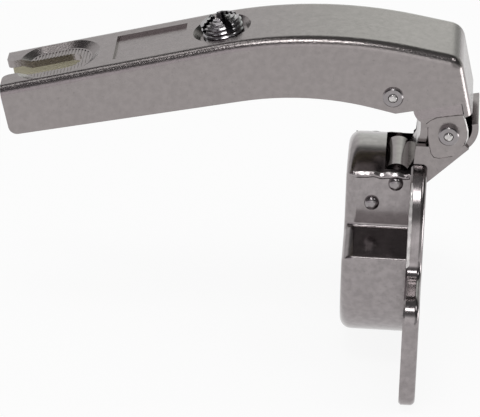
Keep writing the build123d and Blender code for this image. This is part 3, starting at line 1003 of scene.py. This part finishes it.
@dataclass
class Studio:
    """Camera, floor, backdrop and lamps. Lengths are in metres unless a name says otherwise.

    The plated steel mirrors the backdrop, so it is bright and dark in bands round the x axis. The
    camera sees it plain white, and dull surfaces get an even grey light from it.

    Attributes:
        picture_wide_px: Width of the picture.
        focal_px: Focal length in pixels of the picture.
        sensor: Width of the camera's sensor, in millimetres.
        clip: Nearest and furthest distance that the camera sees.
        azimuth: How far the camera stands round to the right, in degrees.
        elevation: How far it looks down, in degrees.
        roll: How far it is rolled, in degrees.
        pixels_per_mm: Scale of the picture at the origin.
        origin_px: Where the picture shows the origin.
        centre_px: Middle of the picture.
        floor_size: Side of the floor.
        floor_gap: How far the floor lies below the object.
        paper: Grey level of the floor.
        paper_dull: Roughness of the floor.
        paper_glow: Share of the floor's white that is its own, where it is only looked at.
        fill: Grey level of the light on dull surfaces.
        stops: Angle round the x axis, in degrees, and brightness of each stop of the backdrop.
        green: How many times stronger green is in the stops of the green span.
        green_span: First and last angle of those stops.
        plain_span: From where to where, sideways, the green fades out on the left.
        side_span: From where to where, sideways, the brightness runs from left to right.
        left_level: Brightness on the left.
        right_level: Brightness on the right.
        far_right_span: From where to where, sideways, the backdrop darkens at the far right.
        far_right_level: What is left of the brightness there.
        lamps: The soft boxes.
    """

    picture_wide_px: float = 480.0
    focal_px: float = 3677.373
    sensor: float = 36.0
    clip: tuple[float, float] = (0.01, 20.0)
    azimuth: float = 3.264
    elevation: float = 28.138
    roll: float = 1.623
    pixels_per_mm: float = 5.654
    origin_px: tuple[float, float] = (408.121, 232.103)
    centre_px: tuple[float, float] = (240.0, 208.5)
    floor_size: float = 6.0
    floor_gap: float = 0.0002
    paper: float = 0.9
    paper_dull: float = 0.9
    paper_glow: float = 0.9
    fill: float = 0.6
    stops: tuple[tuple[float, float], ...] = (
        (-180, 1.0), (-90, 1.0), (0, 1.0), (28, 1.15), (33, 1.1), (40, 0.2), (50, 0.13),
        (94, 0.13), (102, 0.18), (128, 0.16), (138, 0.3), (147, 1.15), (160, 1.3), (172, 1.1),
        (180, 1.0),
    )
    green: float = 1.05
    green_span: tuple[float, float] = (0, 60)
    plain_span: tuple[float, float] = (-0.02, -0.24)
    side_span: tuple[float, float] = (-0.5, 0.5)
    left_level: float = 0.65
    right_level: float = 1.25
    far_right_span: tuple[float, float] = (0.2, 0.38)
    far_right_level: float = 0.35
    lamps: tuple[SoftBox, ...] = (
        SoftBox("front_soft_box", (-0.14, -0.3, 0.94), (0.42, 0.17), 1.7),
        SoftBox("right_high", (0.55, -0.09, 0.82), (0.25, 0.25), 0.6),
        SoftBox("left_overhead", (-0.42, 0.22, 0.88), (0.25, 0.3), 0.35),
        SoftBox("right_card", (0.12, 0.0, 0.006), (0.05, 0.035), 0.024),
    )

    def axes(self) -> Matrix:
        """Work out the camera's axes.

        Returns:
            Right, up and back, as the columns of a matrix.
        """
        turn, tilt, roll = (math.radians(a) for a in (self.azimuth, self.elevation, self.roll))
        level = math.cos(tilt)
        right = Vector((math.cos(turn), math.sin(turn), 0.0))
        ahead = Vector((-math.sin(turn) * level, math.cos(turn) * level, -math.sin(tilt)))
        up = right.cross(ahead)
        rolled_right = right * math.cos(roll) + up * math.sin(roll)
        rolled_up = up * math.cos(roll) - right * math.sin(roll)
        return Matrix((rolled_right, rolled_up, -ahead)).transposed()

    def camera(self) -> None:
        """Set the camera where the picture was taken from."""
        distance = self.focal_px / self.pixels_per_mm * MM
        across = (self.origin_px[0] - self.centre_px[0]) / self.focal_px * distance
        above = (self.centre_px[1] - self.origin_px[1]) / self.focal_px * distance
        axes = self.axes()
        place = -(axes @ Vector((across, above, -distance)))
        data = bpy.data.cameras.new("camera")
        data.sensor_width = self.sensor
        data.sensor_fit = "HORIZONTAL"
        data.lens = self.sensor * self.focal_px / self.picture_wide_px
        data.clip_start, data.clip_end = self.clip
        eye = bpy.data.objects.new("camera", data)
        eye.matrix_world = Matrix.Translation(place) @ axes.to_4x4()
        bpy.context.scene.collection.objects.link(eye)
        bpy.context.scene.camera = eye

    def floor(self) -> None:
        """Lay the pale floor just below the object."""
        mesh = bpy.data.meshes.new("floor")
        half = self.floor_size / 2
        corners = [(-half, -half, 0), (half, -half, 0), (half, half, 0), (-half, half, 0)]
        mesh.from_pydata(corners, [], [(0, 1, 2, 3)])
        sheet = bpy.data.objects.new("floor", mesh)
        sheet.location.z = cad_box[0][2] - self.floor_gap
        bpy.context.scene.collection.objects.link(sheet)
        mesh.materials.append(self.white_paper())

    def white_paper(self) -> bpy.types.Material:
        """Make the floor's paper, which glows a little where it is only looked at.

        Returns:
            The new material.
        """
        made = bpy.data.materials.new("white_paper")
        made.use_nodes = True
        tree = made.node_tree
        shader = tree.nodes["Principled BSDF"]
        shader.inputs["Base Color"].default_value = (self.paper, self.paper, self.paper, 1.0)
        shader.inputs["Roughness"].default_value = self.paper_dull
        shader.inputs["Specular IOR Level"].default_value = 0.0
        glow = tree.nodes.new("ShaderNodeEmission")
        blend = tree.nodes.new("ShaderNodeMixShader")
        share = reckon(tree, "MULTIPLY", self.seen(tree), self.paper_glow)
        tree.links.new(share, blend.inputs["Fac"])
        tree.links.new(shader.outputs["BSDF"], blend.inputs[1])
        tree.links.new(glow.outputs["Emission"], blend.inputs[2])
        tree.links.new(blend.outputs["Shader"], tree.nodes["Material Output"].inputs["Surface"])
        return made

    def seen(self, tree: bpy.types.NodeTree) -> bpy.types.NodeSocket:
        """Add nodes that tell a ray that shows the background from one that lights.

        Args:
            tree: Node tree that the nodes go into.

        Returns:
            Socket that is 1 for camera, glossy and transmission rays.
        """
        rays = tree.nodes.new("ShaderNodeLightPath").outputs
        looked = reckon(tree, "MAXIMUM", rays["Is Camera Ray"], rays["Is Glossy Ray"])
        return reckon(tree, "MAXIMUM", looked, rays["Is Transmission Ray"])

    def bands(
        self, tree: bpy.types.NodeTree, split: bpy.types.Node, brightest: float
    ) -> bpy.types.NodeSocket:
        """Colour the bands of the mirrored backdrop.

        Args:
            tree: Node tree that the nodes go into.
            split: Node that gives the three parts of a direction.
            brightest: Greatest brightness in any channel, which the colours are divided by.

        Returns:
            Socket with the colour in a direction.
        """
        turn = reckon(tree, "ARCTAN2", split.outputs["Z"], split.outputs["Y"])
        ramp = tree.nodes.new("ShaderNodeValToRGB")
        elements = ramp.color_ramp.elements
        for index, (angle, level) in enumerate(self.stops):
            at = (angle + 180) / 360
            element = elements[index] if index < 2 else elements.new(at)
            element.position = at
            shade = level / brightest
            tinted = self.green_span[0] <= angle <= self.green_span[1]
            element.color = (shade, shade * (self.green if tinted else 1.0), shade, 1.0)
        tree.links.new(remap(tree, turn, (-math.pi, math.pi), WHOLE), ramp.inputs["Fac"])
        leftness = remap(tree, split.outputs["X"], self.plain_span, WHOLE)
        ungreened = (1.0, 1.0 / self.green, 1.0)
        return mix_colours(tree, leftness, ramp.outputs["Color"], ungreened, "MULTIPLY")

    def backdrop(self) -> None:
        """Set the white backdrop with the dark ceiling that the plated steel reflects."""
        world = bpy.data.worlds.new("studio_backdrop")
        world.use_nodes = True
        tree = world.node_tree
        tree.nodes.clear()
        split = tree.nodes.new("ShaderNodeSeparateXYZ")
        direction = tree.nodes.new("ShaderNodeTexCoord").outputs["Generated"]
        tree.links.new(direction, split.inputs["Vector"])
        brightest = self.green * max(level for _, level in self.stops)
        levels = (brightest * self.left_level, brightest * self.right_level)
        sideways = remap(tree, split.outputs["X"], self.side_span, levels)
        fading = (1.0, self.far_right_level)
        far_right = remap(tree, split.outputs["X"], self.far_right_span, fading)
        mirrored = tree.nodes.new("ShaderNodeBackground")
        strength = reckon(tree, "MULTIPLY", sideways, far_right)
        tree.links.new(strength, mirrored.inputs["Strength"])
        tree.links.new(self.bands(tree, split, brightest), mirrored.inputs["Color"])
        white = tree.nodes.new("ShaderNodeBackground")
        white.inputs["Color"].default_value = (1.0, 1.0, 1.0, 1.0)
        soft = tree.nodes.new("ShaderNodeBackground")
        soft.inputs["Color"].default_value = (self.fill, self.fill, self.fill, 1.0)
        metal = tree.nodes.new("ShaderNodeMixShader")
        tree.links.new(self.seen(tree), metal.inputs["Fac"])
        tree.links.new(soft.outputs["Background"], metal.inputs[1])
        tree.links.new(mirrored.outputs["Background"], metal.inputs[2])
        shown = tree.nodes.new("ShaderNodeMixShader")
        path = tree.nodes.new("ShaderNodeLightPath")
        tree.links.new(path.outputs["Is Camera Ray"], shown.inputs["Fac"])
        tree.links.new(metal.outputs["Shader"], shown.inputs[1])
        tree.links.new(white.outputs["Background"], shown.inputs[2])
        output = tree.nodes.new("ShaderNodeOutputWorld")
        tree.links.new(shown.outputs["Shader"], output.inputs["Surface"])
        bpy.context.scene.world = world

    def build(self) -> None:
        """Set up the camera, floor, backdrop and lamps."""
        bpy.context.scene.view_settings.view_transform = "Standard"
        self.camera()
        self.floor()
        self.backdrop()
        for lamp in self.lamps:
            lamp.hang()


def main() -> None:
    """Dress the hinge sub-assembly by sub-assembly and set up the studio."""
    logging.basicConfig(level=logging.INFO)
    for assembly in (Arm(), AdjustingScrew(), Linkage(), Cup(), Studio()):
        assembly.build()
        LOG.info("built %s", type(assembly).__name__)


if __name__ == "__main__":
    main()
